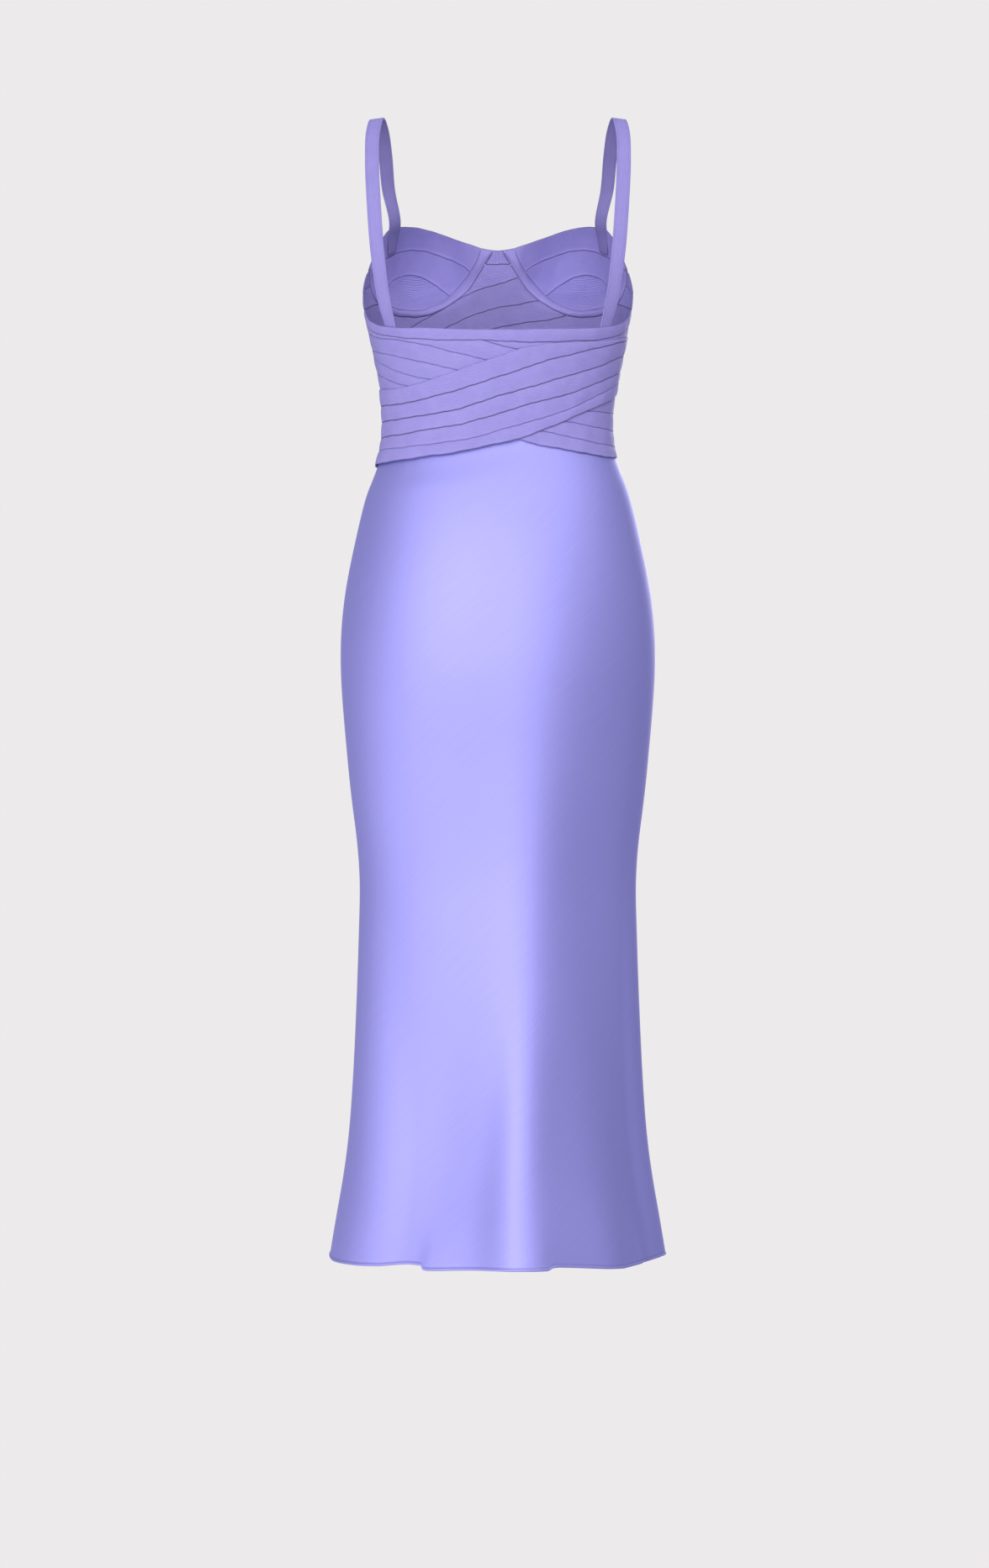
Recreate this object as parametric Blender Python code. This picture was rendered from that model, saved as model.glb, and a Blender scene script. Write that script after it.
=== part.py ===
"""A midi dress, filled out as worn and seen empty: a bodice of knit strips with two wired cups and two
shoulder straps, crossed strips over the back, and a satin skirt cut on the bias in two panels.

Everything is worked out in millimetres and turned to metres at the end. The origin is midway between
the undersides of the two strap crowns, +Z is up, the front of the dress faces -Y and the wearer's left
is +X. Angles go round the body in degrees: 0 is the middle of the back, 90 the wearer's left side
seam, 180 the middle of the front and -90 the right side seam. On the front pieces the angle is counted
from the middle of the front instead, with the wearer's left positive.
"""
import bpy
import numpy as np

MM = 0.001

# Cloth
KNIT = 1.5
PUFF = 0.4
SATIN = 1.0
CHANNEL_OUT = 0.9
CHANNEL_IN = 1.6
STRAP_THICK = 1.8
STRAP_WIDTH = 15.0
SEAM_GAP = 0.3
CHANNEL_GAP = 0.9
LAYER_GAP = 0.4
OVER_LAYER = KNIT + PUFF + LAYER_GAP
TUCK = 8.0
SKIRT_SETTLE = 18.0
SKIRT_STANDS = 0.6
NARROWEST = 1.2

# Grid
BACK_STEP = 6.0
FRONT_STEP = 4.0
SIDE_SEAM = 89.93
MEAN_RADIUS = 110.0
NORMAL_TURN = 1.5
NORMAL_RISE = 3.0
SQUARENESS = 2.3
HEM_HEIGHT = -1213.0

# Inner face of the cloth: height, half width at the side seams, depth behind them and before them
SECTIONS = np.array([
    (-1225, 180, 146, 152),
    (-1176, 172, 134, 142),
    (-1131, 164, 121, 130),
    (-1086, 158, 111, 120),
    (-1041, 154.5, 104, 112),
    (-951, 150, 96, 103),
    (-861, 147, 92, 98),
    (-816, 146, 92, 97),
    (-771, 149, 95, 100),
    (-726, 155, 100, 104),
    (-681, 159.5, 106, 106),
    (-636, 163.5, 113, 108),
    (-591, 166.5, 119, 109),
    (-546, 166, 121, 109),
    (-501, 161, 119, 107),
    (-456, 152, 112, 104),
    (-411, 141.5, 100, 100),
    (-375, 130.5, 88, 95),
    (-350, 123, 81, 92),
    (-325, 121.5, 78, 90),
    (-295, 123.5, 80, 90),
    (-265, 128.5, 84, 93),
    (-235, 135, 89, 96),
    (-205, 141.5, 93, 98),
    (-180, 144.5, 94, 97),
    (-150, 140, 93, 94),
    (-120, 135, 91, 91),
    (-90, 130, 88, 86),
])

# Cup dome: place of its crown, how far it stands out, and its reach each way
CUP_X, CUP_Z, CUP_RISE = 92.0, -152.0, 44.0
CUP_INWARD, CUP_OUTWARD, CUP_UP, CUP_DOWN = 76.0, 54.0, 82.0, 46.0
CUP_FULLNESS = 1.1

# Seams of the back: their height at each angle, from the wearer's left side to the right
BACK_ANGLES = (90, 75, 60, 45, 30, 15, 0, -15, -30, -45, -60, -75, -90)
BACK_SEAMS = {
    "neck": (-203, -221, -229, -231, -233, -234, -234, -234, -233, -232, -229, -221, -203),
    "band": (-215, -231, -239, -243, -245, -245, -246, -247, -247, -245, -242, -233, -216),
    "under_0": (-200, -210, -225, -235, -240, -243, -250, -255, -262, -267, -269, -267, -262),
    "under_1": (-226, -236, -242, -249, -257, -263, -269, -276, -284, -291, -295, -292, -285),
    "under_2": (-246, -252, -260, -268, -275, -283, -291, -300, -308, -313, -316, -316, -314),
    "under_3": (-251, -264, -277, -285, -292, -300, -308, -316, -323, -328, -332, -334, -333),
    "under_4": (-269, -279, -290, -299, -307, -316, -325, -333, -339, -344, -349, -351, -350),
    "under_5": (-287, -296, -305, -315, -325, -335, -343, -349, -355, -359, -363, -364, -361),
    "over_0": (-288, -291, -291, -285, -277, -269, -262, -254, -249, -246, -243, -237, -231),
    "over_1": (-307, -308, -308, -303, -297, -290, -283, -276, -267, -259, -250, -241, -235),
    "over_2": (-325, -325, -324, -321, -317, -310, -303, -297, -290, -281, -271, -258, -250),
    "over_3": (-343, -342, -341, -337, -334, -328, -322, -315, -308, -301, -289, -276, -268),
    "over_4": (-355, -356, -356, -354, -351, -347, -340, -334, -327, -318, -304, -289, -278),
    "over_5": (-371, -371, -370, -367, -364, -359, -354, -349, -340, -329, -315, -303, -290),
}
UNDER_STRIPS = 6
OVER_STRIPS = 5

# Seams of one cup, as angle from the middle of the front and height. The other cup mirrors it.
CUP_SEAMS = {
    "edge": ((0, -126), (6, -125), (12, -123), (21, -118), (33, -110), (45, -103), (52, -101),
             (60, -102), (66, -105), (72, -119), (78, -144), (84, -176), (90, -203)),
    "band_seam": ((8, -170), (19, -147), (30, -134), (38, -128), (48, -123.5), (56, -124.5),
                  (62, -130), (68, -138), (76, -150), (90, -180)),
    "low_seam": ((24, -190), (30, -174), (37, -161.5), (44, -153.5), (50, -150), (57, -152),
                 (62, -160), (65, -172), (69, -192), (90, -230)),
    "wire_in": ((0, -80), (8, -105), (11, -122), (14, -135.5), (18, -148), (24, -160), (31, -175),
                (38, -185.5), (45, -191.5), (52, -193), (59, -192), (66, -183), (70, -172),
                (74, -157), (78, -138), (90, -80)),
    "wire_out": ((0, -110), (3.5, -127), (8.5, -141), (13.5, -154.5), (19, -168), (25, -178),
                 (32, -188), (38, -195), (45, -199.5), (52, -201), (60, -199.5), (66, -195),
                 (71, -186), (76, -172), (80, -157), (84, -140), (90, -110)),
    "side_1": ((60, -150), (72, -164), (75, -171), (80, -177), (85, -184), (90, -191)),
    "side_2": ((60, -186), (66, -189), (70, -191), (75, -194.5), (80, -197.5), (85, -200),
               (90, -203.5)),
}

# The first seam below the cups, which runs along the left wire, and the rest of the front's seams:
# their height at each angle from the middle of the front
FRONT_FIRST_SEAM = ((90, -252), (75, -240), (60, -225), (52, -214), (45, -205), (38, -196), (30, -185.5),
                    (22, -175.5), (15, -170), (3, -164), (-7, -159), (-13, -155.5), (-20, -151),
                    (-90, -130))
FRONT_ANGLES = (90, 75, 60, 45, 30, 15, 0, -15, -30, -45, -60, -75, -90)
FRONT_SEAMS = {
    "front_2": (-268, -258, -243, -226, -209, -196, -188, -184, -178, -172, -166, -160, -154),
    "front_3": (-287, -276, -261, -244, -228, -217, -210, -205, -202, -196, -190, -184, -178),
    "front_4": (-305, -295, -281, -266, -252, -241, -234, -229, -225, -222, -220, -220, -222),
    "front_5": (-322, -313, -301, -288, -276, -266, -258, -253, -249, -246, -245, -245, -246),
    "front_6": (-338, -330, -320, -309, -299, -290, -282, -277, -273, -271, -270, -270, -271),
    "front_7": (-354, -347, -339, -330, -321, -313, -306, -301, -298, -296, -295, -295, -295),
    "front_8": (-366, -361, -355, -348, -340, -334, -329, -325, -322, -320, -319, -319, -319),
    "front_9": (-382, -378, -373, -366, -358, -353, -349, -346, -344, -342, -341, -341, -341),
    "waist": (-371, -371, -370, -369, -368, -366, -365, -364, -363, -362, -361, -361, -361),
}
FRONT_STRIPS = 9
GORE_SEAM_HEIGHT = -141.0

# Straps: x, y, height and turn of the strap's width from the X axis, from behind to before
STRAP_FREE = (
    (119.0, 58.5, -205, -38),
    (126.5, 68.0, -152, -16),
    (131.0, 60.0, -95, -8),
    (133.0, 45.0, -50, -4),
    (131.5, 24.0, -15, 0),
    (129.5, 2.0, 0.9, 4),
    (126.8, -20.0, -8, 10),
    (123.0, -42.0, -30, 18),
    (119.0, -62.0, -65, 30),
)
STRAP_BACK = ((64, -244), (64, -236), (64, -227))
STRAP_FRONT = ((66, -100), (65.5, -114), (65, -130))
STRAP_INSET = 0.9
STRAP_STATIONS = 34

# Folds of the skirt: angle at the hem and higher up, how far the fold stands out at the hem, its
# breadth in degrees towards larger and towards smaller angles, and the height at which it starts
FOLDS = (
    (-12.7, -22.3, 16.4, 27.3, 23.9, -400),
    (-71.7, -57.0, -16.4, 21.6, 19.5, -400),
    (-5.7, -13.0, 13.2, 10.4, 14.3, -912),
    (41.2, 62.7, -16.1, 17.9, 32.2, -708),
    (112, 112, -6, 12, 12, -860),
    (134, 138, 10, 16, 13, -700),
    (158, 158, -7, 13, 13, -860),
    (180, 176, 8, 14, 14, -800),
    (-158, -160, -8, 13, 13, -860),
    (-136, -140, 11, 14, 18, -640),
    (-112, -112, -5, 12, 12, -860),
)
SIDE_CALM = 16.0
SKIRT_ROWS = 17


def through(xs, ys, x):
    """A cubic through a table's points, whose slope at each point comes from the two beside it."""
    xs = np.asarray(xs, float)
    ys = np.asarray(ys, float)
    if xs[0] > xs[-1]:
        xs = xs[::-1]
        ys = ys[::-1]
    slope = np.gradient(ys, xs)
    x = np.clip(x, xs[0], xs[-1])
    i = np.clip(np.searchsorted(xs, x) - 1, 0, len(xs) - 2)
    span = xs[i + 1] - xs[i]
    t = (x - xs[i]) / span
    return (
        (2 * t**3 - 3 * t**2 + 1) * ys[i]
        + (t**3 - 2 * t**2 + t) * slope[i] * span
        + (3 * t**2 - 2 * t**3) * ys[i + 1]
        + (t**3 - t**2) * slope[i + 1] * span
    )


def fade(x, low, high):
    """0 below low, 1 above high, and a smooth step between them."""
    t = np.clip((x - low) / (high - low), 0, 1)
    return t * t * (3 - 2 * t)


def cup_rise(x, z):
    """How far the cup stands out: a full dome that runs out smoothly on an egg-shaped outline."""
    across = np.abs(x) - CUP_X
    up = z - CUP_Z
    reach_x = np.where(across < 0, CUP_INWARD, CUP_OUTWARD)
    reach_z = np.where(up < 0, CUP_DOWN, CUP_UP)
    q = (across / reach_x) ** 2 + (up / reach_z) ** 2
    return CUP_RISE * np.clip(1 - q, 0, 1) ** 2 * (1 + CUP_FULLNESS * q)


def folds(angle, z):
    """The skirt's folds: ridges and troughs that deepen towards the hem and leave the side seams alone."""
    total = np.zeros_like(z)
    for at_hem, higher, out, wide_up, wide_down, start in FOLDS:
        down = fade(-z, -start, -HEM_HEIGHT)
        middle = higher + (at_hem - higher) * down
        away = (angle - middle + 180) % 360 - 180
        breadth = np.where(away > 0, wide_up, wide_down)
        total = total + out * down**0.8 * np.exp(-((away / breadth) ** 2))
    return total * fade(np.abs(np.abs(angle) - 90), 0, SIDE_CALM)


def body(angle, z):
    """The cloth's inner face: a superellipse ring at each height, with the cups and folds on it."""
    rad = np.radians(angle)
    heights = SECTIONS[:, 0]
    half = through(heights, SECTIONS[:, 1], z)
    behind = through(heights, SECTIONS[:, 2], z)
    before = through(heights, SECTIONS[:, 3], z)
    depth = np.where(np.cos(rad) >= 0, behind, before)
    q = np.abs(np.sin(rad) / half) ** SQUARENESS + np.abs(np.cos(rad) / depth) ** SQUARENESS
    r = q ** (-1 / SQUARENESS) + folds(angle, z)
    x = r * np.sin(rad)
    y = r * np.cos(rad)
    y = y - np.where(y < 0, cup_rise(x, z), 0)
    return np.stack([x, y, z], axis=-1)


def outward(angle, z):
    """The unit normal of the cloth, out of the body, from its slopes over a few millimetres."""
    along = body(angle + NORMAL_TURN, z) - body(angle - NORMAL_TURN, z)
    up = body(angle, z + NORMAL_RISE) - body(angle, z - NORMAL_RISE)
    normal = np.cross(up, along)
    return normal / np.linalg.norm(normal, axis=-1, keepdims=True)


def ribbon_mesh(inner, outer):
    """A closed wall between two matching grids of points, with quads round its four edges."""
    rows, cols = inner.shape[:2]
    count = rows * cols
    index = np.arange(count).reshape(rows, cols)
    a, b, c, d = index[:-1, :-1], index[:-1, 1:], index[1:, 1:], index[1:, :-1]
    front = np.stack([a, b, c, d], axis=-1).reshape(-1, 4) + count
    back = np.stack([a, d, c, b], axis=-1).reshape(-1, 4)
    loop = np.concatenate([index[0, :], index[1:, -1], index[-1, -2::-1], index[-2:0:-1, 0]])
    after = np.roll(loop, -1)
    rim = np.stack([loop, after, after + count, loop + count], axis=-1)
    points = np.concatenate([inner.reshape(-1, 3), outer.reshape(-1, 3)])
    return points, np.concatenate([front, back, rim])


def material(name, colour, roughness):
    """A Principled material of one colour, given as linear red, green and blue."""
    made = bpy.data.materials.get(name)
    if made is None:
        made = bpy.data.materials.new(name)
        made.use_nodes = True
        shader = made.node_tree.nodes["Principled BSDF"]
        shader.inputs["Base Color"].default_value = (*colour, 1.0)
        shader.inputs["Roughness"].default_value = roughness
    return made


KNIT_COLOUR = (0.36, 0.31, 0.74)
SATIN_COLOUR = (0.49, 0.48, 0.98)


def add_piece(name, inner, outer, colour=KNIT_COLOUR, roughness=0.85):
    """Put one closed wall in the scene as a named object."""
    points, faces = ribbon_mesh(inner, outer)
    mesh = bpy.data.meshes.new(name)
    mesh.from_pydata((points * MM).tolist(), [], faces.tolist())
    mesh.update()
    piece = bpy.data.objects.new(name, mesh)
    bpy.context.scene.collection.objects.link(piece)
    piece.data.materials.append(material(name + "_cloth", colour, roughness))
    return piece


def wall(angles, low, high, rows, offset, thick, puff=0.0, dent=0.0):
    """Inner and outer grids of a wall between two heights, one column for each angle."""
    across = np.linspace(0, 1, rows)[:, None]
    z = low[None, :] + (high - low)[None, :] * across
    angle = np.repeat(angles[None, :], rows, axis=0)
    normal = outward(angle, z)
    base = body(angle, z)
    swell = np.sin(np.pi * across)[..., None]
    inner = base + normal * (offset - dent * swell)
    outer = base + normal * (offset + thick + puff * swell)
    return inner, outer


def columns(low, high, step):
    """Angles at whole steps from the side seam, with low and high where no step is close to them."""
    inside = np.arange(-90, 90 + step, step)
    inside = inside[(inside > low) & (inside < high)]
    first = [low] if inside[0] - low > 0.3 * step else []
    last = [high] if high - inside[-1] > 0.3 * step else []
    return np.concatenate([first, inside, last])


class Seams:
    """Seam heights held at whole steps, so that pieces beside each other share one broken line."""

    def __init__(self, step):
        self.step = step
        self.grid = np.arange(-90, 90 + step, step)
        self.heights = {}

    def add(self, name, angles, heights, mirrored=False):
        """Hold a seam's heights, which are missing at angles that its table doesn't reach."""
        at = np.abs(self.grid) if mirrored else self.grid
        there = (at >= min(angles)) & (at <= max(angles))
        self.heights[name] = np.where(there, through(angles, heights, at), np.nan)

    def height(self, name, angle):
        return np.interp(angle, self.grid, self.heights[name])

    def half_gap(self, name, angle):
        """Half the seam gap, measured up and down, so that a steep seam is as open as a level one."""
        # The cup's foot bends the walls beside a channel towards each other, so those seams are wider.
        slope = np.gradient(self.heights[name], np.radians(self.grid) * MEAN_RADIUS)
        slope = np.interp(angle, self.grid, np.nan_to_num(slope))
        gap = CHANNEL_GAP if name in ("wire_in", "wire_out") else SEAM_GAP
        return 0.5 * gap * np.sqrt(1 + slope**2)


def region(seams, tops, bottoms, near):
    """Angles and heights of the patch nearest an angle, under its top seams and over its bottom seams."""
    fine = np.arange(-SIDE_SEAM, SIDE_SEAM + 0.01, SIDE_SEAM / 360)

    def edges(angle):
        top = [seams.height(name, angle) - seams.half_gap(name, angle) for name in tops]
        low = [seams.height(name, angle) + seams.half_gap(name, angle) for name in bottoms]
        return np.fmax.reduce(low), np.fmin.reduce(top)

    low, top = edges(fine)
    wide = top - low > NARROWEST
    start = end = int(np.argmin(np.where(wide, np.abs(fine - near), np.inf)))
    while start > 0 and wide[start - 1]:
        start -= 1
    while end < len(fine) - 1 and wide[end + 1]:
        end += 1
    angles = columns(fine[start], fine[end], seams.step)
    low, top = edges(angles)
    return angles, low, top


def back_strip(seams, name, tops, bottoms, offset):
    """One knit strip of the back, its outer face swelling between its seams."""
    angles, low, high = region(seams, tops, bottoms, near=-50.0)
    inner, outer = wall(angles, low, high, 3, offset, KNIT, PUFF)
    add_piece(name, inner[:, ::-1], outer[:, ::-1])


def back_pieces():
    """The neck band and two layers of strips: the under strips fall to the right, the over strips rise."""
    seams = Seams(BACK_STEP)
    for name, heights in BACK_SEAMS.items():
        seams.add(name, BACK_ANGLES, heights)
    back_strip(seams, "back_neck_band", ("neck",), ("band",), 0.0)
    back_strip(seams, "back_under_strip_1", ("band",), ("under_0",), 0.0)
    for k in range(1, UNDER_STRIPS):
        tops = ("band", "under_%d" % (k - 1))
        back_strip(seams, "back_under_strip_%d" % (k + 1), tops, ("under_%d" % k,), 0.0)
    for k in range(OVER_STRIPS):
        tops = ("over_%d" % k,)
        back_strip(seams, "back_over_strip_%d" % (k + 1), tops, ("over_%d" % (k + 1),), OVER_LAYER)


def front_seams():
    """Every seam of the front on one set of columns."""
    seams = Seams(FRONT_STEP)
    for name, points in CUP_SEAMS.items():
        angles, heights = zip(*points)
        seams.add(name, angles, heights, mirrored=True)
    seams.add("front_1", *zip(*FRONT_FIRST_SEAM))
    for name, heights in FRONT_SEAMS.items():
        seams.add(name, FRONT_ANGLES, heights)
    seams.add("gore_seam", (-90, 90), (GORE_SEAM_HEIGHT, GORE_SEAM_HEIGHT))
    return seams


def to_front(angle):
    """An angle from the middle of the front, as an angle round the body."""
    return 180.0 - angle


def front_piece(seams, name, tops, bottoms, near, rows, **shape):
    """One panel of the front between its seams."""
    angles, low, high = region(seams, tops, bottoms, near)
    inner, outer = wall(to_front(angles), low, high, rows, 0.0, KNIT, **shape)
    add_piece(name, inner, outer)


def front_pieces():
    """Cups, wire channels, gore, side strips and the strips below, on both sides of the front."""
    seams = front_seams()
    for side, sign in (("left", 1), ("right", -1)):
        front_piece(seams, "cup_neck_band_" + side, ("edge",), ("band_seam", "wire_in"), 48 * sign, 4)
        front_piece(seams, "cup_middle_" + side, ("band_seam",), ("low_seam", "wire_in"), 48 * sign, 4)
        front_piece(seams, "cup_lower_" + side, ("low_seam",), ("wire_in",), 50 * sign, 5)
        channel = dict(puff=CHANNEL_OUT, dent=CHANNEL_IN)
        tops = ("wire_in", "edge")
        front_piece(seams, "wire_channel_" + side, tops, ("wire_out",), 40 * sign, 4, **channel)
        tops = ("edge", "wire_out")
        front_piece(seams, "side_upper_" + side, tops, ("side_1",), 81 * sign, 3)
        tops = ("edge", "wire_out", "side_1")
        front_piece(seams, "side_lower_" + side, tops, ("side_2",), 80 * sign, 3)
    front_piece(seams, "gore_top", ("edge", "wire_out"), ("gore_seam",), 0, 3)
    front_piece(seams, "gore_ribbed", ("gore_seam", "wire_out"), ("front_1",), 0, 4)
    ceiling = ("wire_out", "side_2", "edge")
    front_piece(seams, "front_strip_1", ceiling, ("front_1",), 70, 3)
    for k in range(1, FRONT_STRIPS):
        tops = ceiling + ("front_%d" % k,)
        bottoms = ("front_%d" % (k + 1), "waist")
        front_piece(seams, "front_strip_%d" % (k + 1), tops, bottoms, 20, 2)
    last = "front_%d" % FRONT_STRIPS
    front_piece(seams, "front_strip_%d" % (FRONT_STRIPS + 1), (last,), ("waist",), -30, 2)


def skirt_panel(name, angles, around, edge, turned):
    """One satin panel, from inside the bodice's edge, out past it and down to the hem."""
    share = np.linspace(0, 1, SKIRT_ROWS - 2)[:, None]
    below_edge = edge - SKIRT_SETTLE
    rows = below_edge[None, :] + (HEM_HEIGHT - below_edge)[None, :] * share
    z = np.concatenate([[edge + TUCK, edge - 2.0], rows])[::-1]
    angle = np.repeat(around[None, :], SKIRT_ROWS, axis=0)
    tucked = -(LAYER_GAP + SEAM_GAP / 2 + SATIN)
    offset = tucked + (SKIRT_STANDS - tucked) * fade(edge[None, :] - z, 0.0, SKIRT_SETTLE)
    normal = outward(angle, z)
    base = body(angle, z)
    inner = base + normal * offset[..., None]
    outer = base + normal * (offset + SATIN)[..., None]
    if turned:
        inner = inner[:, ::-1]
        outer = outer[:, ::-1]
    add_piece(name, inner, outer, SATIN_COLOUR, 0.35)


def skirt_pieces():
    """The back and front panels of the skirt."""
    angles = columns(-SIDE_SEAM, SIDE_SEAM, FRONT_STEP)
    back = Seams(BACK_STEP)
    for name in ("under_5", "over_5"):
        back.add(name, BACK_ANGLES, BACK_SEAMS[name])
    edge = np.minimum(back.height("under_5", angles), back.height("over_5", angles))
    skirt_panel("skirt_back", angles, angles, edge, True)
    front = Seams(FRONT_STEP)
    front.add("waist", FRONT_ANGLES, FRONT_SEAMS["waist"])
    skirt_panel("skirt_front", angles, to_front(angles), front.height("waist", angles), False)


def strap(name, side):
    """A band carried along a smooth path from inside the back band, over the shoulder, to a cup."""
    inside = -(STRAP_INSET + STRAP_THICK / 2)
    stations = []
    turns = []
    for angle, z in STRAP_BACK:
        a = np.array([float(angle)])
        h = np.array([float(z)])
        normal = outward(a, h)[0]
        stations.append(body(a, h)[0] + normal * inside)
        turns.append(-np.degrees(np.arctan2(normal[0], normal[1])))
    for x, y, z, turn in STRAP_FREE:
        stations.append(np.array([x, y, z]))
        turns.append(turn)
    for angle, z in STRAP_FRONT:
        a = np.array([to_front(float(angle))])
        h = np.array([float(z)])
        normal = outward(a, h)[0]
        stations.append(body(a, h)[0] + normal * inside)
        turns.append(np.degrees(np.arctan2(normal[0], -normal[1])))
    stations = np.array(stations)
    run = np.concatenate([[0], np.cumsum(np.linalg.norm(np.diff(stations, axis=0), axis=1))])
    t = np.linspace(0, run[-1], STRAP_STATIONS)
    centre = np.stack([through(run, stations[:, k], t) for k in range(3)], axis=-1)
    turn = np.radians(through(run, turns, t))
    along = np.gradient(centre, t, axis=0)
    along /= np.linalg.norm(along, axis=1, keepdims=True)
    width = np.stack([np.cos(turn), np.sin(turn), np.zeros_like(turn)], axis=-1)
    width -= along * np.sum(width * along, axis=1, keepdims=True)
    width /= np.linalg.norm(width, axis=1, keepdims=True)
    thick = np.cross(along, width)
    across = np.array([-0.5, 0.5])[:, None, None] * STRAP_WIDTH
    middle = centre[None] + width[None] * across
    inner = middle - thick[None] * STRAP_THICK / 2
    outer = middle + thick[None] * STRAP_THICK / 2
    if side < 0:
        mirror = np.array([-1, 1, 1])
        inner, outer = outer * mirror, inner * mirror
    add_piece(name, inner, outer)


def build():
    for old in list(bpy.data.objects):
        bpy.data.objects.remove(old, do_unlink=True)
    back_pieces()
    front_pieces()
    strap("strap_left", 1)
    strap("strap_right", -1)
    skirt_pieces()


build()
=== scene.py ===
"""Midi dress, filled out as worn and seen empty from behind: a bodice of knit strips with two wired
cups and two straps, strips crossed over the back, and a bias-cut satin skirt in two panels.

Shapes are worked out in millimetres in the frame of the CAD model and turned to metres at the end.
Angles go round the body in degrees: 0 is the middle of the back, 90 the wearer's left side seam, 180
the middle of the front. On the front pieces they are counted from the middle of the front instead,
with the wearer's left positive.
"""
import math

import bpy
import numpy as np
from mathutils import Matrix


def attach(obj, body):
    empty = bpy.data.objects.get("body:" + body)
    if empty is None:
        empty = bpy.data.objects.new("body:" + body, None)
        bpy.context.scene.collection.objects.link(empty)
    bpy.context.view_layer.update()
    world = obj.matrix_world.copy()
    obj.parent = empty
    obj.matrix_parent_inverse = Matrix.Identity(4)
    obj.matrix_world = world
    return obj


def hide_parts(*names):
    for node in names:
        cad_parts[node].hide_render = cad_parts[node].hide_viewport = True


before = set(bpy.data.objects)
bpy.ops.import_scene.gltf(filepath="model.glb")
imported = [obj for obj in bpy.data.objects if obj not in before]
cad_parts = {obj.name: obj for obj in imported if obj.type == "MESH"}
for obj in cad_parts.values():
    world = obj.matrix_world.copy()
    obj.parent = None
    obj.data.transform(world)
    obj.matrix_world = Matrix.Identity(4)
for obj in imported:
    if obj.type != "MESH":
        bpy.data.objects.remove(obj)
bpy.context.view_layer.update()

bl_info = {
    "name": "Knit-strip dress with a satin skirt",
    "version": (1, 0, 0),
    "blender": (4, 0, 0),
    "location": "3D View > Sidebar > Dress",
    "description": "Builds the dress's cloth over its CAD frame, and a plain studio round it",
    "category": "Add Mesh",
}

MM = 0.001

# Grids: degrees between columns, the least gap beside a piece's end, and the points searched for it
COLUMN_STEP = 1.0
CLOSEST_COLUMN = 0.3
SEARCH_POINTS = 1441
# A piece ends where it gets narrower than this
NARROWEST = 0.3
KNIT_ROWS = 7
SKIRT_COLUMNS, SKIRT_ROWS, SKIRT_TOP_ROWS = 241, 150, 18
# Degrees and mm over which the slope of the cloth is taken
NORMAL_TURN, NORMAL_RISE = 1.2, 2.5
# Faces that meet at a wider turn have a sharp edge between them
SHARP_TURN = math.radians(65)

# The body's rings are squarer than ellipses, for which this is 2
SQUARENESS = 2.3
HEM_HEIGHT = -1213.0
# The sections are evened more over the skirt, from the first of these heights to the second
BODICE_SMOOTHING, SKIRT_SMOOTHING = 5.0, 15.0
SMOOTHER_FROM = (-385.0, -460.0)

# Skirt: how far it is tucked inside the bodice, how far below the edge it has come out to the body's
# shape, how far it stands off that shape, and its gaps to the layers over it
TUCK = 8.0
SKIRT_SETTLE = 36.0
SKIRT_STANDS = 0.6
LAYER_GAP, TUCK_GAP = 0.4, 0.15

# A strip's edges thin to a sliver. One lower than these heights swells less or has closer rows.
EDGE_ROUNDING = 0.97
FULL_SWELL_HEIGHT = 12.0
FULL_STEPS_HEIGHT = 9.0
# Heights of the close rows beside a seam
EDGE_STEPS = np.array([0.0, 0.3, 0.65, 1.05, 1.5, 2.1, 3.0])
# The share of its offset that an over strip keeps at each side seam, and degrees up to the whole
OVER_AT_LEFT, OVER_LEFT_REACH = 0.3, 12
OVER_AT_RIGHT, OVER_RIGHT_REACH = 0.7, 10

# Painted shade in the stitch lines: how much, how far it spreads, and a painted highlight on the edge over
# them
SEAM_SPREAD = 0.7
SIDE_SEAM_SPREAD = 0.25
FRONT_SEAM_PAINTED_SHADE = 0.45
# Painted shade in the side seams of the knit and of the skirt
SIDE_SEAM_PAINTED_SHADE = 0.4
SKIRT_SEAM_PAINTED_SHADE = 0.3
# Painted highlight on the turned edge over a lower seam: its height above the seam, its spread, and its
# strength on plain strips
LIP_HEIGHT, LIP_SPREAD = 2.0, 0.9
PLAIN_LIP_HIGHLIGHT = 0.05
# Painted light on whole faces: a face's brightness beside the knit's own colour, below 1 for painted shade
FRONT_REVERSE_PAINTED_SHADE = 0.86
STRAP_REVERSE_PAINTED_SHADE = 0.75
CUP_REVERSE_PAINTED_LIGHT = 1.03
STRAP_FACE_PAINTED_SHADE = 0.94

# The least width counted for a piece's flat size, in mm. Sheets are declared at least
# this wide, with at least this share of their rectangle
LEAST_SHEET_WIDTH = 10.5

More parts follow.
